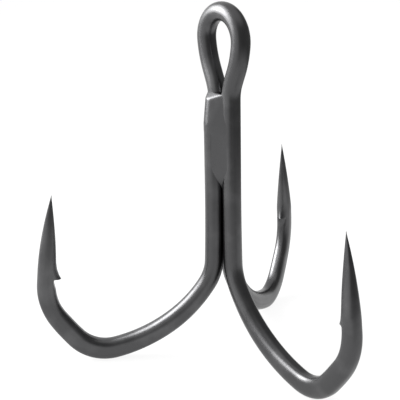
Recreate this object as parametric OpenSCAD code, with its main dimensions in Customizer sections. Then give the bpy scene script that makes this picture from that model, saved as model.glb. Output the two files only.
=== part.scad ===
// Treble hook: three barbed wire hooks, 120 degrees apart, brazed back to back along their shanks.
// One of the three wires goes on past the shank and is bent round into the closed eye.
// Frame: +Z runs up the shank and the origin is the centre of the eye's round top.
// The eyed hook points to -Y, so the eye lies in the YZ plane and its hole runs along X.

/* [Wire] */
// Diameter of the hook wire
wire_d = 2; // [1.4:0.05:2.4]
// Gap that the brazing alloy fills between two neighbouring shanks
shank_gap = 0.04; // [0.02:0.01:0.1]

/* [Eye] */
// Radius of the eye's round top, to the middle of the wire
eye_r = 2.84; // [2.5:0.05:3.6]
// Gap between the two legs where the eye closes
eye_gap = 0.02; // [0.01:0.01:0.2]
// Angle that each leg leans out above the neck
leg_splay = 24.2; // [20:0.5:28]
// Radius of the bend that leans each leg out
leg_foot_r = 6.55; // [5:0.1:7.5]
// Angle that each leg turns back before the round top
leg_return = 17.6; // [12:0.5:20]
// Radius of that return bend
leg_return_r = 9.7; // [7:0.1:10.5]

/* [Shank] */
// Length of the parallel, brazed shank below the neck
shank_len = 8.9; // [6:0.1:16]
// How far the two eyeless shanks run up past the neck
top_over = 2.1; // [0.6:0.1:2.4]
// Slope of the bevel that ends each eyeless shank
top_bevel = 50; // [30:1:60]
// How far the bevel's fall is swung from straight outwards, away from the eyed hook
bevel_swing = 30; // [0:5:45]
// Length of the unbrazed shank where the wires part
flare_len = 8.2; // [4:0.1:14]
// Angle that each wire leans out over that length
flare_turn = 1.6; // [0.5:0.1:3]

/* [Bend] */
// Radius of the throat bend, where each wire leaves the shank
throat_r = 5.35; // [4:0.1:8]
// Angle of the throat bend
throat_turn = 30.8; // [26:0.2:34]
// Length of the sloping arm between the throat and the bottom bend
arm_len = 12.7; // [9:0.1:18]
// Angle that the arm curves through
arm_turn = 45.5; // [40:0.5:50]
// Share of that angle in the upper half of the arm
arm_early = 0.53; // [0.4:0.01:0.6]
// Radius of the bottom bend
bend_r = 4.45; // [3.5:0.1:7]
// Angle of the bottom bend
bend_turn = 61.7; // [56:0.1:66]
// Length of the nearly straight stretch between the bottom bend and the heel
flat_len = 2.85; // [1:0.1:5]
// Angle that this stretch curves through
flat_turn = 5.7; // [2:0.1:10]
// Radius of the heel bend
heel_r = 6.45; // [4:0.1:9]
// Angle of the heel bend
heel_turn = 39.8; // [34:0.2:46]
// Length of the leg that ends in the point
point_len = 10; // [9.8:0.1:14]
// Angle that this leg curves inward
point_turn = 5.8; // [0:0.2:10]

/* [Forging] */
// Width of the forged bend, measured in the plane of the hook
forged_w = 2.3; // [2:0.05:2.7]
// Thickness of the forged bottom bend, across the plane of the hook
forged_t = 1.8; // [1.5:0.05:2.1]
// Thickness of the forged heel, across the plane of the hook
heel_t = 1.65; // [1.4:0.05:2]

/* [Point] */
// Length of the ground needle point
taper_len = 8.4; // [6:0.1:8.6]
// How far the point is set out from the middle of the wire
point_set = 0.25; // [0:0.05:0.4]
// Distance from the point down to the tip of the barb, along the leg
barb_drop = 9.6; // [8.8:0.1:9.8]
// Length of the lifted barb
barb_len = 1.6; // [1:0.1:2.2]
// How far the barb stands out from the leg
barb_rise = 0.55; // [0.3:0.05:0.8]
// Depth of the cut that lifts the barb
barb_cut = 0.3; // [0.15:0.05:0.5]
// Thickness of the barb, across the plane of the hook
barb_t = 0.9; // [0.6:0.05:1.2]

/* [Brazing] */
// How far the brazed web lies below the flush line of two neighbouring shanks
web_sink = 0.1; // [0.05:0.05:0.3]
// Height of the brazed fillet above the neck
fillet_rise = 1.9; // [1.4:0.1:2.4]

/* [Hidden] */

steel = [0.34, 0.34, 0.35];
braze = [0.42, 0.42, 0.43];
slack = 0.02;             // clearance between a scarfed shank top and the eye's leg
exact_fn = 48;            // smoothness of round solids, which stay true cylinders and tori
sides = 18;               // corners of the swept wire's cross-section
eyed_turn = 270;          // direction that each hook points in
left_turn = 150;
rear_turn = 30;

wire_r = wire_d / 2;
shank_r = (wire_d + shank_gap) / sqrt(3);   // from the shank's axis to each wire's middle
neck_half = wire_r + eye_gap / 2;           // from the shank's axis to the middle of each leg

// Eye: from the neck up, each leg bends out, runs straight, bends back and meets the round top.
top_lean = leg_splay - leg_return;
leg_run = (eye_r * cos(top_lean) - neck_half - leg_foot_r * (1 - cos(leg_splay))
           - leg_return_r * (cos(top_lean) - cos(leg_splay))) / sin(leg_splay);
neck_z = -eye_r * sin(top_lean) - leg_return_r * (sin(leg_splay) - sin(top_lean))
         - leg_run * cos(leg_splay) - leg_foot_r * sin(leg_splay);
shank_z = neck_z - shank_len;                    // lower end of the parallel shank
// The eyed hook's shank runs straight on into the near leg, whose foot bend is tighter to suit.
near_foot_r = leg_foot_r - (shank_r - neck_half) / (1 - cos(leg_splay));
near_z = neck_z + (leg_foot_r - near_foot_r) * sin(leg_splay);

// A swept wire follows stretches, each [length, angle it turns through, rings along it]. A place on
// its path is [distance out from the axis, height, heading], with heading 0 straight down and 90 out.
root_len = 1;             // how far a swept wire is let into the end of the straight shank
let_in = 0.98;            // a swept wire starts a little thinner, inside the shank
tail_len = 0.1;           // straight end of the eye's far leg

function arc(r, turn) = r * turn * PI / 180;
function total(stretches, count) = count == 0 ? 0 : stretches[count - 1][0] + total(stretches, count - 1);
function moved(place, length, turn) =
    turn == 0
    ? [place[0] + length * sin(place[2]), place[1] - length * cos(place[2]), place[2]]
    : let (r = length / arc(1, turn), heading = place[2] + turn)
      [place[0] + r * (cos(place[2]) - cos(heading)), place[1] - r * (sin(heading) - sin(place[2])), heading];
function start_of(first, stretches, i) =
    i == 0 ? first : moved(start_of(first, stretches, i - 1), stretches[i - 1][0], stretches[i - 1][1]);
// Every ring of a sweep: [place, distance along the path].
function rings(first, stretches) =
    [for (i = [0:len(stretches) - 1])
     let (start = start_of(first, stretches, i), before = total(stretches, i), count = stretches[i][2])
     for (k = [0:count - 1])
     [moved(start, stretches[i][0] * k / count, stretches[i][1] * k / count), before + stretches[i][0] * k / count]];
function end_of(first, stretches) = start_of(first, stretches, len(stretches));

// The bend, from the parallel shank down, out and up to the point.
bend_first = [shank_r, shank_z + root_len, 0];
bend_path = [[root_len, 0, 1], [flare_len, flare_turn, 3], [arc(throat_r, throat_turn), throat_turn, 7],
             [arm_len / 2, arm_turn * arm_early, 6], [arm_len / 2, arm_turn * (1 - arm_early), 6],
             [arc(bend_r, bend_turn), bend_turn, 12], [flat_len, flat_turn, 2],
             [arc(heel_r, heel_turn), heel_turn, 8], [point_len, point_turn, 16]];
point_place = end_of(bend_first, bend_path);
throat_s = total(bend_path, 3);
bend_s = total(bend_path, 5) + bend_path[5][0] / 2;
heel_s = total(bend_path, 7) + bend_path[7][0] / 2;
tip_s = total(bend_path, len(bend_path));
widths = [[0, let_in * wire_d], [root_len, let_in * wire_d], [2 * root_len, wire_d], [throat_s, wire_d],
          [bend_s, forged_w], [heel_s, (wire_d + forged_w) / 2], [tip_s - taper_len, wire_d]];
thicknesses = [[0, let_in * wire_d], [root_len, let_in * wire_d], [2 * root_len, wire_d], [throat_s, wire_d],
               [bend_s, forged_t], [heel_s, heel_t], [tip_s - taper_len, heel_t]];
width_power = 1.7;        // how bluntly the ground point tapers, in the plane of the hook
thickness_power = 1.2;    // and across it
// Share of the full section that the grinding leaves.
function ground(s, power) = 1 - pow(1 - min(1, (tip_s - s) / taper_len), power);

// The eye, from the parallel shank up, over and down to the end of the wire.
eye_first = [shank_r, near_z - root_len, 180];
eye_path = [[root_len, 0, 1], [arc(near_foot_r, leg_splay), -leg_splay, 6],
            [leg_run, 0, 1], [arc(leg_return_r, leg_return), leg_return, 4],
            [arc(eye_r, 180 + 2 * top_lean), 180 + 2 * top_lean, 30],
            [arc(leg_return_r, leg_return), leg_return, 4], [leg_run, 0, 1],
            [arc(leg_foot_r, leg_splay), -leg_splay, 6], [tail_len, 0, 1]];
eye_widths = [[0, let_in], [root_len, let_in], [2 * root_len, 1]];

// The corners of one ring: its half sizes in and across the plane, and how far it is set outwards.
function ring_points(place, half_w, half_t, set) =
    [for (k = [0:sides - 1])
     let (a = 360 * k / sides, in = half_w * cos(a) - set)
     [place[0] + in * cos(place[2]), half_t * sin(a), place[1] + in * sin(place[2])]];

// A closed skin over rings of corners, which ends in a flat face or, with a tip, in a point.
module skin(corners, tip = []) {
    count = len(corners) / sides;
    last = (count - 1) * sides;
    walls = [for (j = [0:count - 2], k = [0:sides - 1])
             let (a = j * sides + k, b = j * sides + (k + 1) % sides)
             each [[a, b, b + sides], [a, b + sides, a + sides]]];
    cap = len(tip) == 0 ? [[for (k = [0:sides - 1]) last + k]]
                        : [for (k = [0:sides - 1]) [last + k, last + (k + 1) % sides, len(corners)]];
    polyhedron(concat(corners, len(tip) == 0 ? [] : [tip]),
               concat([[for (k = [sides - 1:-1:0]) k]], walls, cap), convexity = 6);
}

// The bend and the point of one hook, pointing to +X.
module bend() {
    corners = [for (ring = rings(bend_first, bend_path))
               let (s = ring[1], left = ground(s, width_power))
               each ring_points(ring[0], lookup(s, widths) / 2 * left,
                                lookup(s, thicknesses) / 2 * ground(s, thickness_power), point_set * (1 - left))];
    difference() {
        union() {
            skin(corners, [point_place[0] - point_set * cos(point_place[2]), 0,
                           point_place[1] - point_set * sin(point_place[2])]);
            barb();
        }
        barb_notch();
    }
}

// Puts its children on the inner side of the leg, level with the barb's tip: +X stands out from the
// leg and +Y runs up it to the point.
module at_barb(thick) {
    leg = len(bend_path) - 1;
    place = moved(start_of(bend_first, bend_path, leg), point_len - barb_drop,
                  point_turn * (1 - barb_drop / point_len));
    side = lookup(tip_s - barb_drop, widths) / 2;
    translate([place[0] + side * cos(place[2]), 0, place[1] + side * sin(place[2])])
        rotate([0, -place[2], 0])
            rotate([-90, 0, 0])
                translate([0, 0, -thick / 2])
                    linear_extrude(thick)
                        children();
}

// The lifted sliver, whose tip points back down the leg.
module barb() {
    sunk = wire_r / 2;
    at_barb(barb_t)
        polygon([[barb_rise, 0], [0, barb_len], [-sunk, barb_len], [-sunk, 0]]);
}

// The slanting cut that lifts the barb, and the step it leaves below.
module barb_notch() {
    at_barb(2 * wire_d)
        polygon([[2 * barb_rise, -barb_rise], [barb_rise, 0], [-barb_cut, barb_cut], [-barb_cut, 0],
                 [0, -barb_len], [2 * barb_rise, -barb_len]]);
}

// Straight shank of one hook, in its own place before it is turned, from the flare to the height top.
module shank(top, d) {
    translate([shank_r, 0, shank_z])
        cylinder(h = top - shank_z, d = d, $fn = exact_fn);
}

// The eyed hook's wire above the flare: shank, near leg, round top and far leg. The wire may be
// thickened, to cut a place for it.
module eye_wire(thicker = 0) {
    shank(near_z, wire_d + thicker);
    skin([for (ring = rings(eye_first, eye_path))
          let (half = wire_r * lookup(ring[1], eye_widths) + thicker / 2)
          each ring_points(ring[0], half, half, 0)]);
}

// The shank of a hook with no eye, pointing to +X: it ends in a bevel, which falls in the direction swing.
module bevelled_shank(swing) {
    top = neck_z + top_over;
    difference() {
        shank(top + wire_d, wire_d);
        translate([shank_r, 0, top])
            rotate([0, 0, swing])
                translate([-wire_r, 0, 0])
                    rotate([0, top_bevel, 0])
                        translate([-3 * wire_d, -wire_d, 0])
                            cube([6 * wire_d, 2 * wire_d, 3 * wire_d]);
    }
}

// A hook with no eye, whose shank is scarfed to nest against the eye's legs.
module eyeless_hook(turn, swing) {
    difference() {
        rotate([0, 0, turn]) {
            bevelled_shank(swing);
            bend();
        }
        rotate([0, 0, eyed_turn])
            eye_wire(2 * slack);
    }
}

module eyed_hook() {
    color(steel)
        rotate([0, 0, eyed_turn]) {
            eye_wire();
            bend();
        }
}

module left_hook() {
    color(steel)
        eyeless_hook(left_turn, -bevel_swing);
}

module rear_hook() {
    color(steel)
        eyeless_hook(rear_turn, bevel_swing);
}

// All the wire that brazing alloy can touch.
module brazed_wires() {
    rotate([0, 0, eyed_turn])
        eye_wire();
    rotate([0, 0, left_turn])
        bevelled_shank(-bevel_swing);
    rotate([0, 0, rear_turn])
        bevelled_shank(bevel_swing);
}

// Side of a groove: facets that touch the shank from outside, from the narrowest place between two
// shanks round to the angle reach. The narrowest place is the origin and the shank lies to -X.
side_steps = 8;
function groove_side(reach) =
    let (step = reach / side_steps, r = wire_r / cos(step / 2), middle = -(wire_d + shank_gap) / 2)
    [for (k = [0:side_steps]) [middle + r * cos(k * step), r * sin(k * step)]];
function flipped(points) = [for (k = [len(points) - 1:-1:0]) [-points[k][0], points[k][1]]];
// Puts 2D points, drawn about the narrowest place with +Y outwards, in the groove that faces turn.
function in_groove(points, turn) =
    let (out = shank_r / 2)
    [for (p = points) [(out + p[1]) * cos(turn) + p[0] * sin(turn), (out + p[1]) * sin(turn) - p[0] * cos(turn)]];

// Web in the groove that faces turn.
module web(turn) {
    side = groove_side(asin(1 - web_sink / wire_r));
    color(braze)
        translate([0, 0, shank_z])
            linear_extrude(neck_z - shank_z)
                polygon(in_groove(concat(side, flipped(side)), turn));
}

module front_braze() {
    web(left_turn + 60);
}

module left_braze() {
    web(rear_turn + 60);
}

module right_braze() {
    web(eyed_turn + 60);
}

// Thread of alloy in the three-sided channel between the shanks.
module core_braze() {
    side = groove_side(-30);
    corner = concat(flipped(side), [for (k = [0:side_steps - 1]) side[k]]);
    color(braze)
        translate([0, 0, shank_z])
            linear_extrude(neck_z - shank_z)
                polygon([for (turn = [left_turn, eyed_turn, rear_turn]) each in_groove(corner, turn + 60)]);
}

// Fillet that closes the eye: it fairs the shank tops into the legs and fills the crotch.
module neck_braze() {
    rim = wire_r - web_sink;
    thin = 0.01;
    foot_z = neck_z + top_over - wire_d * tan(top_bevel);
    top_z = neck_z + fillet_rise;
    color(braze)
        difference() {
            hull() {
                for (turn = [left_turn, rear_turn])
                    rotate([0, 0, turn])
                        translate([shank_r, 0, foot_z])
                            cylinder(h = thin, r = rim, $fn = 32);
                for (y = [-neck_half, neck_half])
                    translate([0, y, top_z])
                        cylinder(h = thin, r = rim / 2, $fn = 32);
                translate([0, -neck_half, neck_z])
                    cylinder(h = thin, r = rim, $fn = 32);
            }
            brazed_wires();
        }
}

eyed_hook();
left_hook();
rear_hook();
front_braze();
left_braze();
right_braze();
core_braze();
neck_braze();
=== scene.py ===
"""Treble hook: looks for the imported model."""
import math

import bmesh
import bpy
from mathutils import Matrix, Vector


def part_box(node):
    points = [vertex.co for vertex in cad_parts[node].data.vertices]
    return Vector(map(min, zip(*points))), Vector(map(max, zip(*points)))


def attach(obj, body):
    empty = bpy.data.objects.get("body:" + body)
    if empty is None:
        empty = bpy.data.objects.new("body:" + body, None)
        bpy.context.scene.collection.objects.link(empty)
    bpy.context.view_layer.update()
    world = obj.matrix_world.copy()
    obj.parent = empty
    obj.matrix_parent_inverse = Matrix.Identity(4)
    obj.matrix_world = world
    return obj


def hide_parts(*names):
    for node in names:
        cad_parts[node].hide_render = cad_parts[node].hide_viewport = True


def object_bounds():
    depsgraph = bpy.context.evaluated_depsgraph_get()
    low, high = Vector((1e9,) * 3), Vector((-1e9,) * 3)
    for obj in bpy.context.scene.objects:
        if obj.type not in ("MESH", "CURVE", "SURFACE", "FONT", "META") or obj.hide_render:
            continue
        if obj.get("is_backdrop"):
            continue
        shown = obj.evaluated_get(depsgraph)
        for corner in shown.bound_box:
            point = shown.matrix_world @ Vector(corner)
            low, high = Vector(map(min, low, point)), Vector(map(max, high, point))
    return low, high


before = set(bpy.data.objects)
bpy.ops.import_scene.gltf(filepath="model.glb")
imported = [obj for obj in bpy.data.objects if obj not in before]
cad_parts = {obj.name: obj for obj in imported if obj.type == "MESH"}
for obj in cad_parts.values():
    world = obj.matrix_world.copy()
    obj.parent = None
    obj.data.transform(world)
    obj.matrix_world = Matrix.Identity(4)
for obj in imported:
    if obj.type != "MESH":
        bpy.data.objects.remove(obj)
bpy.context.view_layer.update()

bl_info = {
    "name": "Treble Hook",
    "version": (1, 0, 0),
    "blender": (4, 5, 0),
    "location": "View3D > Sidebar > Treble Hook",
    "description": "Builds a brazed treble hook in black nickel and the studio it stands in",
    "category": "Object",
}

MM = 0.001
BODY = "root"
EYED_TURN = math.radians(270)
LEFT_TURN = math.radians(150)
REAR_TURN = math.radians(30)


def top_of(node):
    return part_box(node)[1][2]


def bottom_of(node):
    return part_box(node)[0][2]


WIRE_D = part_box("eyed_hook")[1][0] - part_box("eyed_hook")[0][0]
SHANK_Z = bottom_of("front_braze")
NECK_Z = top_of("front_braze")


# Sizes and colours that a user would change


def length(name, description, mm):
    return bpy.props.FloatProperty(
        name=name, description=description, default=mm * MM, min=0, unit="LENGTH", precision=5)


def angle(name, description, degrees):
    return bpy.props.FloatProperty(
        name=name, description=description, default=math.radians(degrees), subtype="ANGLE")


def share(name, description, value):
    return bpy.props.FloatProperty(
        name=name, description=description, default=value, min=0, max=4, subtype="FACTOR")


def number(name, description, value):
    return bpy.props.FloatProperty(name=name, description=description, default=value, precision=4)


def colour(name, description, value):
    return bpy.props.StringProperty(name=name, description=description, default=value)


class HookSizes(bpy.types.PropertyGroup):
    """The wire and the bend that all three hooks share."""

    wire_d: bpy.props.FloatProperty(
        name="Wire", description="Diameter of the wire", default=WIRE_D, unit="LENGTH", precision=5)
    shank_gap: length("Shank gap", "Gap between two neighbouring shanks", 0.04)
    flare_len: length("Flare length", "Unbrazed shank, where the wires part", 8.2)
    flare_turn: angle("Flare", "Lean of the wires over the flare", 1.6)
    throat_r: length("Throat radius", "Radius of the throat bend", 5.35)
    throat_turn: angle("Throat turn", "Angle of the throat bend", 30.8)
    arm_len: length("Arm length", "Length of the sloping arm", 12.7)
    arm_turn: angle("Arm turn", "Angle that the arm curves through", 45.5)
    arm_early: share("Arm early", "Share of the arm's curve in its upper half", 0.53)
    bend_r: length("Bend radius", "Radius of the bottom bend", 4.45)
    bend_turn: angle("Bend turn", "Angle of the bottom bend", 61.7)
    flat_len: length("Flat length", "Stretch between the bottom bend and the heel", 2.85)
    flat_turn: angle("Flat turn", "Angle that this stretch curves through", 5.7)
    heel_r: length("Heel radius", "Radius of the heel bend", 6.45)
    heel_turn: angle("Heel turn", "Angle of the heel bend", 39.8)
    point_len: length("Leg length", "Length of the leg that ends in the point", 10)
    point_turn: angle("Leg turn", "Angle that the leg curves inward", 5.8)
    taper_len: length("Point length", "Length of the ground needle point", 8.4)
    point_set: length("Point set", "How far the point is set out from the wire's middle", 0.25)
    forged: share("Forging", "How square the forged sides of the bend are", 1.0)
    around: bpy.props.IntProperty(name="Corners", description="Corners round the wire", default=56, min=8)
    step: length("Ring spacing", "Distance between rings along the wire", 0.25)


class BarbSizes(bpy.types.PropertyGroup):
    """The barb on the inner side of each leg."""

    drop: length("Drop", "Distance from the point down to the barb's tip", 9.35)
    long: length("Length", "Length of the lifted sliver", 1.9)
    rise: length("Rise", "How far the tip stands out from the leg", 0.58)
    cut: length("Cut", "Depth of the cut that lifts the barb", 0.3)
    run_out: length("Run-out", "Length over which the cut fades below the barb", 1.3)
    half_angle: angle("Half width", "Angle round the leg, from the barb's middle to its edge", 56)


class EyeSizes(bpy.types.PropertyGroup):
    """The closed eye and its neck."""

    eye_r: length("Eye radius", "Radius of the round top, to the middle of the wire", 2.84)
    eye_gap: length("Eye gap", "Gap between the legs where the eye closes", 0.02)
    leg_splay: angle("Splay", "Lean of each leg above the neck", 24.2)
    leg_foot_r: length("Foot radius", "Radius of the bend at the far leg's foot", 6.55)
    leg_return: angle("Return", "Angle that each leg turns back", 17.6)
    leg_return_r: length("Return radius", "Radius of the return bend", 9.7)


class BrazeSizes(bpy.types.PropertyGroup):
    """The brazing alloy."""

    web_sink: length("Web sink", "How far the web lies below the flush line", 0.012)
    run_out: length("Run-out", "Length over which each web thins out at its lower end", 2.4)
    skin: length("Skin", "Thickness of alloy that wets the neck", 0.03)
    grain: length("Grain", "Voxel size of the neck's fillet", 0.06)
    fillet_rise: length("Crotch rise", "Height of the fillet above the neck, between the eye's legs", 1.4)
    tail_rise: length("Tail rise", "Height of the fillet above the neck, on the eye's far leg", 1.45)
    fillet_drop: length("Drop", "Depth below the neck at which the fillet meets the eyeless shanks", 2.3)


class Finish(bpy.types.PropertyGroup):
    """Colours of the plating and of the studio."""

    plate: colour("Plate", "Black nickel over polished wire, sRGB hex", "525253")
    plate_worn: colour("Worn plate", "Black nickel rubbed thin, sRGB hex", "707071")
    braze: colour("Braze", "Black nickel over the braze, sRGB hex", "545455")
    floor: colour("Floor", "Studio floor, sRGB hex", "FFFFFF")
    # the flag glows at this grey and is not lit: painted shade in the metal's reflections
    flag: colour("Flag", "Grey cloth at the front and right, sRGB hex", "8C8C8C")


class StageSizes(bpy.types.PropertyGroup):
    """Camera, lights and flag. Azimuth 0 is the front, and the white floor has brightness 1."""

    azimuth: angle("Azimuth", "Where the camera stands round the hook", -36.3)
    elevation: angle("Elevation", "How high the camera looks from", 18.1)
    roll: angle("Roll", "Turn of the camera about its own axis", -1.09)
    distance: length("Distance", "From the camera to its target", 112.8)
    target: bpy.props.FloatVectorProperty(
        name="Target", description="Where the camera is aimed", subtype="TRANSLATION", precision=5,
        default=(-2.148 * MM, 1.578 * MM, -17.357 * MM))
    lens: number("Lens", "Focal length in millimetres", 94.73)
    shift_x: number("Shift across", "Sideways shift of the frame", -0.0008)
    shift_y: number("Shift up", "Upward shift of the frame", 0.0038)
    key_azimuth: angle("Key azimuth", "Where the key light stands round the hook", -137)
    key_elevation: angle("Key elevation", "How high the key light stands", 30)
    key_half: angle("Key half width", "Half the angle that the key light fills, seen from the hook", 30)
    key_glow: number("Key brightness", "Brightness of the key light", 5.5)
    core_half: angle("Core half width", "Half the angle that its core fills, seen from the hook", 15)
    core_glow: number("Core brightness", "Brightness of the core in front of the key light", 12)
    flag_from: angle("Flag from", "Azimuth of the flag's left edge", -82)
    flag_to: angle("Flag to", "Azimuth of the flag's right edge", 150)
    flag_low: angle("Flag low", "Elevation of the flag's lower edge", -34)
    flag_high: angle("Flag high", "Elevation of the flag's upper edge", 76)


# Paths: a place on a wire is (distance out from the axis, height, heading), heading 0 straight down


def arc(radius, turn):
    return radius * turn


def moved(place, length_along, turn):
    out, height, heading = place
    if abs(turn) < 1e-9:
        return out + length_along * math.sin(heading), height - length_along * math.cos(heading), heading
    radius = length_along / turn
    after = heading + turn
    return (out + radius * (math.cos(heading) - math.cos(after)),
            height - radius * (math.sin(after) - math.sin(heading)), after)


def stations(place, stretches, step):
    """Every ring along the stretches, as (place, distance along), with the last one at the end."""
    found = []
    before = 0.0
    for size, turn in stretches:
        count = max(1, round(size / step))
        for k in range(count):
            found.append((moved(place, size * k / count, turn * k / count), before + size * k / count))
        place = moved(place, size, turn)
        before += size
    found.append((place, before))
    return found


def total(stretches, count=None):
    return sum(size for size, turn in stretches[:count])


def shank_radius(hook):
    return (hook.wire_d + hook.shank_gap) / math.sqrt(3)


def bend_stretches(hook):
    return [
        (hook.flare_len, hook.flare_turn),
        (arc(hook.throat_r, hook.throat_turn), hook.throat_turn),
        (hook.arm_len / 2, hook.arm_turn * hook.arm_early),
        (hook.arm_len / 2, hook.arm_turn * (1 - hook.arm_early)),
        (arc(hook.bend_r, hook.bend_turn), hook.bend_turn),
        (hook.flat_len, hook.flat_turn),
        (arc(hook.heel_r, hook.heel_turn), hook.heel_turn),
        (hook.point_len, hook.point_turn),
    ]


def leg_out(hook, eye):
    """How far each leg of the eye stands from the axis where the eye closes."""
    return (hook.wire_d + eye.eye_gap) / 2


def eye_layout(hook, eye):
    """The eye's derived sizes: lean, straight run, tighter near foot bend, and where that bend starts."""
    neck_half = leg_out(hook, eye)
    lean = eye.leg_splay - eye.leg_return
    run = (eye.eye_r * math.cos(lean) - neck_half - eye.leg_foot_r * (1 - math.cos(eye.leg_splay))
           - eye.leg_return_r * (math.cos(lean) - math.cos(eye.leg_splay))) / math.sin(eye.leg_splay)
    near_foot_r = eye.leg_foot_r - (shank_radius(hook) - neck_half) / (1 - math.cos(eye.leg_splay))
    near_z = NECK_Z + (eye.leg_foot_r - near_foot_r) * math.sin(eye.leg_splay)
    return lean, run, near_foot_r, near_z


def blend(table, s):
    """Reads a smooth curve through (distance, value) pairs."""
    if s <= table[0][0]:
        return table[0][1]
    for (s0, v0), (s1, v1) in zip(table, table[1:]):
        if s <= s1:
            part = (s - s0) / (s1 - s0)
            return v0 + (v1 - v0) * part * part * (3 - 2 * part)
    return table[-1][1]


# Shaping


def section(place, turn):
    """Matrix of a wire's section: X to the inside of the bend, Z along the wire."""
    out, height, heading = place
    inward = Vector((math.cos(heading), 0, math.sin(heading)))
    along = Vector((math.sin(heading), 0, -math.cos(heading)))
    across = along.cross(inward)
    matrix = Matrix((inward, across, along)).transposed().to_4x4()
    matrix.translation = (out, 0, height)
    return Matrix.Rotation(turn, 4, "Z") @ matrix


def squared(value, power):
    return math.copysign(abs(value) ** (2 / power), value)


def extruded(bm, ring, edges):
    """Extrudes a ring of edges: gives the new corners, in the old ones' order, and the new edges."""
    grown = bmesh.ops.extrude_edge_only(bm, edges=edges)["geom"]
    fresh = {item for item in grown if isinstance(item, bmesh.types.BMVert)}
    after = []
    for old in ring:
        linked = [edge.other_vert(old) for edge in old.link_edges]
        after.append(next(vert for vert in linked if vert in fresh))
    return after, [item for item in grown if isinstance(item, bmesh.types.BMEdge)
                   and item.verts[0] in fresh and item.verts[1] in fresh]


class Sweep:
    """A tube drawn out ring by ring from a circle, which remembers each ring."""

    def __init__(self, bm, corners):
        self.bm = bm
        self.wire = bm.verts.layers.float_vector.new("wire")
        self.ring = bmesh.ops.create_circle(bm, cap_ends=False, segments=corners, radius=1)["verts"]
        self.edges = list(dict.fromkeys(edge for vert in self.ring for edge in vert.link_edges))
        # each corner keeps its place on the unit circle, so that the section can change along the wire
        self.units = [vert.co.copy() for vert in self.ring]
        self.rings = []

    def draw(self, matrix, s, half_w, half_t, power=2.0, set_out=0.0):
        """Draws the tube on to the section at matrix and gives it its size and squareness."""
        if self.rings:
            self.ring, self.edges = extruded(self.bm, self.ring, self.edges)
        for vert, unit in zip(self.ring, self.units):
            x = squared(unit.x, power) * half_w - set_out
            y = squared(unit.y, power) * half_t
            vert.co = matrix @ Vector((x, y, 0))
            vert[self.wire] = (x, y, s)
        self.rings.append((matrix, s, self.ring))

    def cap(self):
        """Closes both ends."""
        open_edges = [edge for edge in self.bm.edges if edge.is_boundary]
        bmesh.ops.holes_fill(self.bm, edges=open_edges, sides=0)


def bend_section(hook, stretches, s):
    """Half width, half thickness and squareness of the forged and ground wire at distance s."""
    throat = total(stretches, 2)
    arm = total(stretches, 3)
    bend = total(stretches, 4) + stretches[4][0] / 2
    flat = total(stretches, 5) + stretches[5][0] / 2
    heel = total(stretches, 6) + stretches[6][0] / 2
    end = total(stretches)
    leg = end - 0.7 * hook.point_len
    # the dies widen the bend in its own plane and flatten its sides
    wide = blend([(0, 1), (throat, 1.02), (arm, 1.086), (bend, 1.153), (flat, 1.12), (heel, 1.036),
                  (leg, 0.994)], s)
    thick = blend([(0, 1), (throat, 1.02), (arm, 1.03), (bend, 0.895), (heel, 0.817), (leg, 0.859)], s)
    power = 2 + hook.forged * blend([(throat, 0), (bend, 0.75), (heel, 0.8), (leg, 0.35), (end, 0.5)], s)
    # what the grinding leaves: blunter in the hook's plane than across it
    left = min(1.0, (end - s) / hook.taper_len)
    left_wide = 1 - (1 - left) ** 1.7
    left_thick = 1 - (1 - left) ** 1.18
    return (hook.wire_d / 2 * wide * left_wide, hook.wire_d / 2 * thick * left_thick,
            power, hook.point_set * (1 - left_wide))


def draw_bend(sweep, hook, turn, offset):
    """Draws the wire on from the shank round the bend to the point, and gives the distance drawn."""
    stretches = bend_stretches(hook)
    end = total(stretches)
    tip = 0.025 * MM  # half the width of the needle's very point
    start = (shank_radius(hook), SHANK_Z, 0.0)
    for place, s in stations(start, stretches, hook.step):
        half_w, half_t, power, set_out = bend_section(hook, stretches, min(s, end - 1e-7))
        sweep.draw(section(place, turn), offset + s, max(half_w, tip), max(half_t, tip), power, set_out)
    return end


def raise_barb(sweep, hook, barb, offset, end):
    """Cuts into the inner side of the leg and lifts the sliver above the cut."""
    tip_s = offset + end - barb.drop
    # the cut seen from the side, up the leg: where the plain leg's ring lies, measured from the
    # barb's tip, where along the leg it moves to, and how far out
    outline = [
        (-barb.run_out, -barb.run_out, 0),
        (-0.5 * barb.run_out, -0.3 * barb.run_out, -0.8 * barb.cut),
        (-0.12 * barb.long, 1.1 * barb.cut, -barb.cut),
        (0.05 * barb.long, 0, barb.rise),
        (0.3 * barb.long, 0.25 * barb.long, 0.55 * barb.rise),
        (0.6 * barb.long, 0.6 * barb.long, 0.16 * barb.rise),
        (barb.long, barb.long, 0),
    ]
    grip = 1.6  # how soon the metal beside the barb's middle moves along with it
    for matrix, s, ring in sweep.rings:
        here = s - tip_s
        if not outline[0][0] < here < outline[-1][0]:
            continue
        (here0, up0, out0), (here1, up1, out1) = next(
            pair for pair in zip(outline, outline[1:]) if here <= pair[1][0])
        part = (here - here0) / (here1 - here0)
        up = up0 + (up1 - up0) * part
        out = out0 + (out1 - out0) * part
        inward = matrix.to_3x3() @ Vector((1, 0, 0))
        along = matrix.to_3x3() @ Vector((0, 0, 1))
        for vert, unit in zip(ring, sweep.units):
            off = abs(math.atan2(unit.y, unit.x)) / barb.half_angle
            if off >= 1:
                continue
            # the sliver is ridged and the cut is round
            weight = 1 - off if out > 0 else 1 - off * off * (3 - 2 * off)
            vert.co += inward * (out * weight) + along * ((up - here) * min(1.0, grip * weight))


# Materials


def linear(hex_colour):
    """An sRGB hex colour as linear RGBA."""
    values = [int(hex_colour[i:i + 2], 16) / 255 for i in (0, 2, 4)]
    return [v / 12.92 if v <= 0.04045 else ((v + 0.055) / 1.055) ** 2.4 for v in values] + [1.0]


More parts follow.
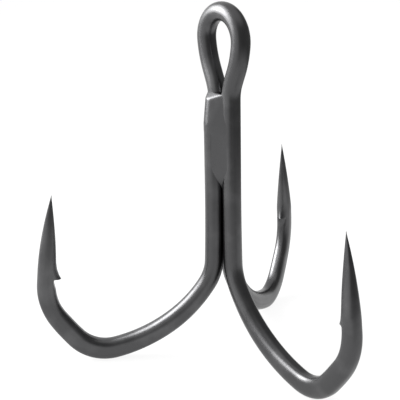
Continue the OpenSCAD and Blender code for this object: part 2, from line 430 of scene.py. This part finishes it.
def add(nodes, kind, settings=None, inputs=None, links=None):
    """Adds a shader node, with its settings, socket values and incoming links."""
    node = nodes.new(kind)
    for key, value in (settings or {}).items():
        setattr(node, key, value)
    for key, value in (inputs or {}).items():
        node.inputs[key].default_value = value
    for key, socket in (links or {}).items():
        node.id_data.links.new(socket, node.inputs[key])
    return node


def every(mm):
    """Scale of a pattern that repeats about once in this many millimetres."""
    return 1 / (mm * MM)


def shader(name):
    material = bpy.data.materials.get(name) or bpy.data.materials.new(name)
    material.use_nodes = True
    nodes = material.node_tree.nodes
    nodes.clear()
    return material, nodes


def black_nickel_wire(finish):
    """High-carbon steel wire, drawn, forged, polished in a drum and plated with black nickel.

    The plate keeps the polish, so it mirrors the room softly. Drawing leaves faint grooves along
    the wire, and the drum leaves a fine orange peel and rubs the plate a little thinner in places.
    """
    material, nodes = shader("black_nickel_plated_steel")
    wire = add(nodes, "ShaderNodeAttribute", {"attribute_name": "wire"})
    # drawing grooves: 0.25 mm apart round the wire and 12.5 mm long
    along = add(nodes, "ShaderNodeMapping", {}, {"Scale": (every(0.25), every(0.25), every(12.5))},
                {"Vector": wire.outputs["Vector"]})
    grooves = add(nodes, "ShaderNodeTexNoise", {}, {"Scale": 1.0, "Detail": 3.0, "Roughness": 0.5},
                  {"Vector": along.outputs["Vector"]})
    # drum orange peel, drawn coarser than it is so that it shows: about 0.7 mm across
    place = add(nodes, "ShaderNodeTexCoord")
    peel = add(nodes, "ShaderNodeTexNoise", {}, {"Scale": every(0.7143), "Detail": 2.0},
               {"Vector": place.outputs["Object"]})
    # thin places in the plate: patches of about 4 mm
    worn = add(nodes, "ShaderNodeTexNoise", {}, {"Scale": every(3.846), "Detail": 3.0},
               {"Vector": place.outputs["Object"]})
    tint = add(nodes, "ShaderNodeValToRGB", {}, {}, {"Fac": worn.outputs["Fac"]})
    tint.color_ramp.elements[0].position = 0.45
    tint.color_ramp.elements[0].color = linear(finish.plate)
    tint.color_ramp.elements[1].position = 0.95
    tint.color_ramp.elements[1].color = linear(finish.plate_worn)
    gloss = add(nodes, "ShaderNodeMapRange", {},
                {"From Min": 0.3, "From Max": 0.7, "To Min": 0.26, "To Max": 0.36},
                {"Value": grooves.outputs["Fac"]})
    peel_bump = add(nodes, "ShaderNodeBump", {}, {"Strength": 0.22, "Distance": 0.03 * MM},
                    {"Height": peel.outputs["Fac"]})
    groove_bump = add(nodes, "ShaderNodeBump", {}, {"Strength": 0.25, "Distance": 0.02 * MM},
                      {"Height": grooves.outputs["Fac"], "Normal": peel_bump.outputs["Normal"]})
    surface = add(nodes, "ShaderNodeBsdfPrincipled", {}, {"Metallic": 1.0},
                  {"Base Color": tint.outputs["Color"], "Roughness": gloss.outputs["Result"],
                   "Normal": groove_bump.outputs["Normal"]})
    add(nodes, "ShaderNodeOutputMaterial", {}, {}, {"Surface": surface.outputs["BSDF"]})
    return material


def black_nickel_braze(finish):
    """Brazing alloy that flowed and froze, then tumbled and plated with the wire.

    It is barely lighter and duller than the wire, with the slight ripple of frozen alloy.
    """
    material, nodes = shader("black_nickel_plated_braze")
    place = add(nodes, "ShaderNodeTexCoord")
    # frozen ripple: about 0.6 mm across and drawn out to about 3 mm along the shank
    flow = add(nodes, "ShaderNodeMapping", {}, {"Scale": (every(0.625), every(0.625), every(2.857))},
               {"Vector": place.outputs["Object"]})
    ripple = add(nodes, "ShaderNodeTexNoise", {}, {"Scale": 1.0, "Detail": 3.0},
                 {"Vector": flow.outputs["Vector"]})
    gloss = add(nodes, "ShaderNodeMapRange", {},
                {"From Min": 0.3, "From Max": 0.7, "To Min": 0.27, "To Max": 0.37},
                {"Value": ripple.outputs["Fac"]})
    bump = add(nodes, "ShaderNodeBump", {}, {"Strength": 0.35, "Distance": 0.03 * MM},
               {"Height": ripple.outputs["Fac"]})
    surface = add(nodes, "ShaderNodeBsdfPrincipled", {},
                  {"Metallic": 1.0, "Base Color": linear(finish.braze)},
                  {"Roughness": gloss.outputs["Result"], "Normal": bump.outputs["Normal"]})
    add(nodes, "ShaderNodeOutputMaterial", {}, {}, {"Surface": surface.outputs["BSDF"]})
    return material


def studio_white(finish):
    """Painted studio floor: white to the eye and in reflections, and it takes a soft shadow."""
    material, nodes = shader("studio_white_paint")
    path = add(nodes, "ShaderNodeLightPath")
    seen = add(nodes, "ShaderNodeMath", {"operation": "MAXIMUM"}, {},
               {0: path.outputs["Is Camera Ray"], 1: path.outputs["Is Glossy Ray"]})
    shown = add(nodes, "ShaderNodeMath", {"operation": "MAXIMUM"}, {},
                {0: seen.outputs[0], 1: path.outputs["Is Transmission Ray"]})
    # a tenth of the paint stays in view, and with it the shadow
    glowing = add(nodes, "ShaderNodeMath", {"operation": "MULTIPLY"}, {1: 0.9}, {0: shown.outputs[0]})
    paint = add(nodes, "ShaderNodeBsdfDiffuse", {}, {"Color": linear(finish.floor)})
    glow = add(nodes, "ShaderNodeEmission", {}, {"Color": linear(finish.floor), "Strength": 1.0})
    mixed = add(nodes, "ShaderNodeMixShader", {}, {},
                {"Fac": glowing.outputs[0], 1: paint.outputs[0], 2: glow.outputs[0]})
    add(nodes, "ShaderNodeOutputMaterial", {}, {}, {"Surface": mixed.outputs[0]})
    return material


def flag_grey(finish):
    """Grey flag that glows at a fixed grey, fading to white towards its edges: painted shade in the
    metal's reflections of one side of the room.
    """
    material, nodes = shader("painted_shade_flag")
    shade = add(nodes, "ShaderNodeAttribute", {"attribute_name": "shade"})
    grey = add(nodes, "ShaderNodeMix", {"data_type": "RGBA"},
               {6: linear(finish.floor), 7: linear(finish.flag)}, {0: shade.outputs["Fac"]})
    # the flag glows at a fixed grey instead of being lit by the lamps: painted shade for the metal to
    # reflect
    flag_glow = add(nodes, "ShaderNodeEmission", {}, {"Strength": 1.0}, {"Color": grey.outputs[2]})
    add(nodes, "ShaderNodeOutputMaterial", {}, {}, {"Surface": flag_glow.outputs[0]})
    return material


# Finishing a piece


def keep(bm, name, material, node):
    """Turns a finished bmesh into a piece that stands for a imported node."""
    bmesh.ops.recalc_face_normals(bm, faces=bm.faces)
    mesh = bpy.data.meshes.new(name)
    bm.to_mesh(mesh)
    bm.free()
    mesh.polygons.foreach_set("use_smooth", [True] * len(mesh.polygons))
    mesh.set_sharp_from_angle(angle=math.radians(38))
    mesh.materials.append(material)
    piece = bpy.data.objects.new(name, mesh)
    bpy.context.scene.collection.objects.link(piece)
    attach(piece, BODY)
    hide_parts(node)


# Pieces


def draw_straight(sweep, hook, turn, top, s=0.0):
    """Draws the shank from a height down to the flare, and gives the distance at its end."""
    count = max(2, round((top - SHANK_Z) / (4 * hook.step)))
    for k in range(count):
        height = top + (SHANK_Z - top) * k / count
        half = hook.wire_d / 2
        sweep.draw(section((shank_radius(hook), height, 0.0), turn), s + top - height, half, half)
    return s + top - SHANK_Z


def build_eyeless(name, turn, hook, barb, braze, finish):
    """The wire of an eyeless hook, from its end inside the neck's alloy to the point."""
    bm = bmesh.new()
    sweep = Sweep(bm, hook.around)
    s = draw_straight(sweep, hook, turn, NECK_Z - braze.fillet_drop + 0.1 * MM)
    end = draw_bend(sweep, hook, turn, s)
    raise_barb(sweep, hook, barb, s, end)
    sweep.cap()
    keep(bm, name, black_nickel_wire(finish), name.replace("_wire", ""))


def build_eyed(hook, barb, eye, finish):
    """The eyed hook's wire, from its hidden end up the far leg, over, down the near leg to the point."""
    bm = bmesh.new()
    sweep = Sweep(bm, hook.around)
    lean, run, near_foot_r, near_z = eye_layout(hook, eye)
    half = hook.wire_d / 2
    stretches = [(arc(eye.leg_foot_r, eye.leg_splay), eye.leg_splay), (run, 0),
                 (arc(eye.leg_return_r, eye.leg_return), -eye.leg_return),
                 (arc(eye.eye_r, math.pi + 2 * lean), -math.pi - 2 * lean),
                 (arc(eye.leg_return_r, eye.leg_return), -eye.leg_return), (run, 0),
                 (arc(near_foot_r, eye.leg_splay), eye.leg_splay)]
    first = (-leg_out(hook, eye), NECK_Z, math.pi)
    drawn = stations(first, stretches, hook.step)
    for place, s in drawn[:-1]:
        sweep.draw(section(place, EYED_TURN), s, half, half)
    s = drawn[-1][1]
    s = draw_straight(sweep, hook, EYED_TURN, near_z, s)
    end = draw_bend(sweep, hook, EYED_TURN, s)
    raise_barb(sweep, hook, barb, s, end)
    sweep.cap()
    keep(bm, "eyed_hook_wire", black_nickel_wire(finish), "eyed_hook")


def build_web(name, node, facing, hook, braze, finish):
    """The alloy in the groove between two wires: a closed bar that thins out at its lower end."""
    rings = 40
    across = 10
    radius = hook.wire_d / 2
    # the groove's flush line joins the two wires' outer sides; the alloy lies a hair below it
    flush = shank_radius(hook) / 2 + radius - braze.web_sink
    floor = shank_radius(hook) / 2 + 0.1 * radius
    back = floor - 0.3 * radius
    half_w = (hook.wire_d + hook.shank_gap) / 2
    front_half = 0.86 * half_w
    back_half = 0.5 * half_w
    head = NECK_Z - braze.fillet_drop + 0.7 * MM
    dip_len = 0.5 * braze.run_out
    dip_depth = 0.2 * radius
    least = 0.05  # share of its height that is left at the thin end
    spin = Matrix.Rotation(facing, 4, "Z")
    bm = bmesh.new()
    ring = []
    for k in range(rings + 1):
        level = head + (SHANK_Z - head) * k / rings
        near_end = min(1.0, (level - SHANK_Z) / braze.run_out)
        fade = 1 - (1 - near_end) ** 2
        # it dips under the fillet at its upper end
        dip = max(0.0, 1 - (head - level) / dip_len)
        top = floor + (flush - floor) * max(least, fade) - dip_depth * dip ** 2
        # across the groove: sunken middle, rising to meet each wire
        points = []
        for j in range(across + 1):
            t = 2 * j / across - 1
            points.append(Vector((top - braze.web_sink * (1 - t * t), t * front_half, level)))
        points.append(Vector((back, back_half, level)))
        points.append(Vector((back, -back_half, level)))
        if ring:
            ring, edges = extruded(bm, ring, edges)
            for vert, point in zip(ring, points):
                vert.co = spin @ point
        else:
            ring = [bm.verts.new(spin @ point) for point in points]
            edges = [bm.edges.new((ring[i], ring[(i + 1) % len(ring)])) for i in range(len(ring))]
            bmesh.ops.contextual_create(bm, geom=edges)
    bmesh.ops.contextual_create(bm, geom=edges)
    keep(bm, name, black_nickel_braze(finish), node)


def hull_round(bm, rings):
    """Adds the hull round level circles, each given as (x, y, height, radius)."""
    verts = []
    for x, y, height, radius in rings:
        made = bmesh.ops.create_circle(bm, cap_ends=False, segments=32, radius=radius,
                                       matrix=Matrix.Translation((x, y, height)))
        verts += made["verts"]
    done = bmesh.ops.convex_hull(bm, input=verts)
    spare = {item for key in ("geom_interior", "geom_unused") for item in done[key]
             if isinstance(item, bmesh.types.BMVert)}
    bmesh.ops.delete(bm, geom=list(spare), context="VERTS")


def flowed(bm, grain):
    """Fills a rough shape by a voxel remesh and smooths it, so that it flows like alloy.

    The remesh works on a model a thousand times full size, in millimetres.
    """
    bmesh.ops.recalc_face_normals(bm, faces=bm.faces)
    bmesh.ops.scale(bm, vec=(1000, 1000, 1000), verts=bm.verts)
    mesh = bpy.data.meshes.new("blank")
    bm.to_mesh(mesh)
    bm.free()
    blank = bpy.data.objects.new("blank", mesh)
    bpy.context.scene.collection.objects.link(blank)
    remesh = blank.modifiers.new("Fill", "REMESH")
    remesh.mode = "VOXEL"
    remesh.voxel_size = grain * 1000
    smooth = blank.modifiers.new("Flow", "SMOOTH")
    smooth.factor = 0.5
    smooth.iterations = 50
    view = blank.evaluated_get(bpy.context.evaluated_depsgraph_get())
    smoothed = bpy.data.meshes.new_from_object(view)
    bpy.data.objects.remove(blank)
    after = bmesh.new()
    after.from_mesh(smoothed)
    bpy.data.meshes.remove(smoothed)
    bmesh.ops.scale(after, vec=(MM, MM, MM), verts=after.verts)
    return after


def build_neck_fillet(hook, eye, braze, finish):
    """The alloy that fairs the eye's tail and the eyeless shanks into one neck.

    It starts as the hull round level circles, each a little slimmer or stouter than its wire.
    """
    radius = hook.wire_d / 2
    shank_out = shank_radius(hook)
    tail_out = -leg_out(hook, eye)
    foot = NECK_Z - braze.fillet_drop
    crotch_z = NECK_Z + braze.fillet_rise
    crotch_out = 0.62 * radius
    pull = 0.32 * radius
    wetted = 1 + braze.skin / radius
    bare = 0.988  # just under the eyed shank's skin, so that its wire stays in view
    sunk = 0.96

    def level(place, turn, size):
        return place[0] * math.cos(turn), place[0] * math.sin(turn), place[1], radius * size

    def drawn_in(turn):
        """The circle at the top of an eyeless shank, drawn in towards the eye's tail."""
        x, y, height, size = level((shank_out, NECK_Z + 0.85 * MM), turn, 0.95)
        inward = Vector((-x, -tail_out - y)).normalized() * pull
        return x + inward.x, y + inward.y, height, size

    tail_turn = math.asin(braze.tail_rise / eye.leg_foot_r)
    tail = moved((tail_out, NECK_Z, math.pi), arc(eye.leg_foot_r, tail_turn), tail_turn)
    # between the legs the hull reaches only their inner halves, so that their outer sides stay bare
    rings = [drawn_in(LEFT_TURN), drawn_in(REAR_TURN),
             level(tail, EYED_TURN, 0.93),
             level((tail_out, NECK_Z - 0.1 * MM), EYED_TURN, wetted),
             level((crotch_out, crotch_z), EYED_TURN, 0.92),
             level((-crotch_out, crotch_z), EYED_TURN, 0.92)]
    for turn, size in ((LEFT_TURN, wetted), (REAR_TURN, wetted), (EYED_TURN, bare)):
        rings += [level((shank_out, foot + 0.5 * MM), turn, size),
                  level((shank_out, foot - 0.3 * MM), turn, size),
                  level((shank_out, foot - 0.9 * MM), turn, sunk)]
    bm = bmesh.new()
    hull_round(bm, rings)
    keep(flowed(bm, braze.grain), "neck_fillet", black_nickel_braze(finish), "neck_braze")


def build_core(hook, finish):
    """The thread of alloy between the three shanks."""
    gap = shank_radius(hook) - hook.wire_d / 2
    radius = 1.6 * gap
    clear = 0.3 * MM  # how far each end stays inside the shanks' brazed length
    flat = 1e-7  # an edge that rises less than this is on the rim
    bm = bmesh.new()
    bmesh.ops.create_cone(bm, cap_ends=True, segments=24, radius1=radius, radius2=radius,
                          depth=NECK_Z - SHANK_Z - 2 * clear)
    bmesh.ops.translate(bm, vec=(0, 0, (NECK_Z + SHANK_Z) / 2), verts=bm.verts)
    rim = [edge for edge in bm.edges if abs(edge.verts[0].co.z - edge.verts[1].co.z) < flat]
    bmesh.ops.bevel(bm, geom=rim, offset=0.5 * gap, offset_type="OFFSET", segments=3, profile=0.5,
                    affect="EDGES", material=-1, clamp_overlap=True)
    keep(bm, "core_thread", black_nickel_braze(finish), "core_braze")


# Studio


def stage_piece(bm, name, material):
    """Turns a finished bmesh into a part of the studio."""
    mesh = bpy.data.meshes.new(name)
    bm.to_mesh(mesh)
    bm.free()
    mesh.polygons.foreach_set("use_smooth", [True] * len(mesh.polygons))
    mesh.materials.append(material)
    piece = bpy.data.objects.new(name, mesh)
    bpy.context.scene.collection.objects.link(piece)
    piece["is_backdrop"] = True
    return piece


def towards(azimuth, elevation):
    """Direction from the hook: azimuth 0 is the front (-Y) and turns towards +X."""
    return Vector((math.sin(azimuth) * math.cos(elevation), -math.cos(azimuth) * math.cos(elevation),
                   math.sin(elevation)))


def lay_floor(middle, low, size, finish):
    """A floor that runs out of sight, a hair below the lowest point."""
    bm = bmesh.new()
    bmesh.ops.create_grid(bm, x_segments=1, y_segments=1, size=60 * size)
    bmesh.ops.translate(bm, vec=(middle.x, middle.y, low - 0.02 * MM), verts=bm.verts)
    stage_piece(bm, "studio_floor", studio_white(finish))


def hang_flag(stage, middle, size, finish):
    """A glowing grey sheet bent round the front and right of the hook, which only the metal sees: painted
    shade in its reflections.
    """
    side_fade = 0.16  # share of its width over which the painted grey fades to white at each side
    end_fade = 0.25   # share of its height over which its top and bottom do
    bm = bmesh.new()
    bmesh.ops.create_grid(bm, x_segments=48, y_segments=24, size=0.5)
    shade = bm.verts.layers.float.new("shade")
    for vert in bm.verts:
        inset = min(1.0, (0.5 - abs(vert.co.x)) / side_fade) * min(1.0, (0.5 - abs(vert.co.y)) / end_fade)
        vert[shade] = inset * inset * (3 - 2 * inset)
        azimuth = stage.flag_from + (stage.flag_to - stage.flag_from) * (vert.co.x + 0.5)
        elevation = stage.flag_low + (stage.flag_high - stage.flag_low) * (vert.co.y + 0.5)
        vert.co = middle + 0.95 * size * towards(azimuth, elevation)
    piece = stage_piece(bm, "front_flag", flag_grey(finish))
    piece.visible_camera = False
    piece.visible_diffuse = False
    piece.visible_shadow = False


def light_room(finish):
    """Plain white light from all round."""
    world = bpy.data.worlds.new("studio")
    world.use_nodes = True
    nodes = world.node_tree.nodes
    nodes.clear()
    wall = add(nodes, "ShaderNodeBackground", {}, {"Color": linear(finish.floor), "Strength": 1.0})
    add(nodes, "ShaderNodeOutputWorld", {}, {}, {"Surface": wall.outputs[0]})
    bpy.context.scene.world = world


def soft_light(name, middle, place, half_angle, glow):
    """A round softbox that looks this bright and this wide from the hook."""
    radius = (place - middle).length * math.tan(half_angle)
    data = bpy.data.lights.new(name, "AREA")
    data.shape = "DISK"
    data.size = 2 * radius
    # a flat lamp's power is its brightness times pi times its area
    data.energy = glow * math.pi * math.pi * radius ** 2
    lamp = bpy.data.objects.new(name, data)
    lamp.location = place
    lamp.rotation_euler = (middle - place).to_track_quat("-Z", "Y").to_euler()
    lamp.visible_camera = False
    bpy.context.scene.collection.objects.link(lamp)


def light_key(stage, middle, size):
    """The key light behind the hook's left, with a smaller, brighter core just in front of it."""
    place = middle + 2.4 * size * towards(stage.key_azimuth, stage.key_elevation)
    soft_light("key_outer", middle, place, stage.key_half, stage.key_glow)
    soft_light("key_core", middle, place + 0.05 * (middle - place), stage.core_half, stage.core_glow)


def aim_camera(stage, size):
    back = towards(stage.azimuth, stage.elevation)
    right = Vector((math.cos(stage.azimuth), math.sin(stage.azimuth), 0))
    up = back.cross(right)
    rolled_right = right * math.cos(stage.roll) + up * math.sin(stage.roll)
    rolled_up = up * math.cos(stage.roll) - right * math.sin(stage.roll)
    rotation = Matrix((rolled_right, rolled_up, back)).transposed().to_4x4()
    data = bpy.data.cameras.new("camera")
    data.lens = stage.lens
    data.shift_x = stage.shift_x
    data.shift_y = stage.shift_y
    data.clip_start = 1 * MM
    data.clip_end = 200 * size
    camera = bpy.data.objects.new("camera", data)
    camera.matrix_world = Matrix.Translation(Vector(stage.target) + back * stage.distance) @ rotation
    bpy.context.scene.collection.objects.link(camera)
    bpy.context.scene.camera = camera


def build_stage(stage, finish):
    low, high = (Vector(corner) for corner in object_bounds())
    middle = (low + high) / 2
    size = (high - low).length
    lay_floor(middle, low.z, size, finish)
    hang_flag(stage, middle, size, finish)
    light_room(finish)
    light_key(stage, middle, size)
    aim_camera(stage, size)
    bpy.context.scene.view_settings.view_transform = "Standard"


# Operators


def sizes(context):
    return context.scene.treble_hook


class TrebleHook(bpy.types.PropertyGroup):
    """All sizes and colours."""

    hook: bpy.props.PointerProperty(type=HookSizes)
    barb: bpy.props.PointerProperty(type=BarbSizes)
    eye: bpy.props.PointerProperty(type=EyeSizes)
    braze: bpy.props.PointerProperty(type=BrazeSizes)
    finish: bpy.props.PointerProperty(type=Finish)
    stage: bpy.props.PointerProperty(type=StageSizes)


class TREBLE_OT_eyed_hook(bpy.types.Operator):
    """Builds the hook whose wire goes on into the eye"""

    bl_idname = "treble.eyed_hook"
    bl_label = "Eyed hook"

    def execute(self, context):
        s = sizes(context)
        build_eyed(s.hook, s.barb, s.eye, s.finish)
        return {"FINISHED"}


class TREBLE_OT_eyeless_hooks(bpy.types.Operator):
    """Builds the two hooks without an eye"""

    bl_idname = "treble.eyeless_hooks"
    bl_label = "Eyeless hooks"

    def execute(self, context):
        s = sizes(context)
        build_eyeless("left_hook_wire", LEFT_TURN, s.hook, s.barb, s.braze, s.finish)
        build_eyeless("rear_hook_wire", REAR_TURN, s.hook, s.barb, s.braze, s.finish)
        return {"FINISHED"}


class TREBLE_OT_braze(bpy.types.Operator):
    """Builds the alloy in the grooves, between the shanks and round the neck"""

    bl_idname = "treble.braze"
    bl_label = "Brazing alloy"

    def execute(self, context):
        s = sizes(context)
        for name, node, facing in (("front_web", "front_braze", 210), ("left_web", "left_braze", 90),
                                   ("right_web", "right_braze", 330)):
            build_web(name, node, math.radians(facing), s.hook, s.braze, s.finish)
        build_core(s.hook, s.finish)
        build_neck_fillet(s.hook, s.eye, s.braze, s.finish)
        return {"FINISHED"}


class TREBLE_OT_stage(bpy.types.Operator):
    """Builds the studio, lights and camera"""

    bl_idname = "treble.stage"
    bl_label = "Studio"

    def execute(self, context):
        s = sizes(context)
        build_stage(s.stage, s.finish)
        return {"FINISHED"}


class TREBLE_PT_panel(bpy.types.Panel):
    """Sizes, colours and build buttons"""

    bl_idname = "TREBLE_PT_panel"
    bl_label = "Treble Hook"
    bl_space_type = "VIEW_3D"
    bl_region_type = "UI"
    bl_category = "Treble Hook"

    def draw(self, context):
        layout = self.layout
        s = sizes(context)
        for label, group, operators in (
                ("Wire and bend", s.hook, ("treble.eyed_hook", "treble.eyeless_hooks")),
                ("Barb", s.barb, ()),
                ("Eye", s.eye, ()),
                ("Braze", s.braze, ("treble.braze",)),
                ("Finish", s.finish, ()),
                ("Studio", s.stage, ("treble.stage",))):
            box = layout.box()
            box.label(text=label)
            for key in type(group).__annotations__:
                box.prop(group, key)
            for operator in operators:
                box.operator(operator)


CLASSES = (HookSizes, BarbSizes, EyeSizes, BrazeSizes, Finish, StageSizes, TrebleHook, TREBLE_OT_eyed_hook,
           TREBLE_OT_eyeless_hooks, TREBLE_OT_braze, TREBLE_OT_stage, TREBLE_PT_panel)


def register():
    for cls in CLASSES:
        bpy.utils.register_class(cls)
    bpy.types.Scene.treble_hook = bpy.props.PointerProperty(type=TrebleHook)


def unregister():
    del bpy.types.Scene.treble_hook
    for cls in reversed(CLASSES):
        bpy.utils.unregister_class(cls)


def main():
    register()
    bpy.ops.treble.eyed_hook()
    bpy.ops.treble.eyeless_hooks()
    bpy.ops.treble.braze()
    bpy.ops.treble.stage()


if __name__ == "__main__":
    main()
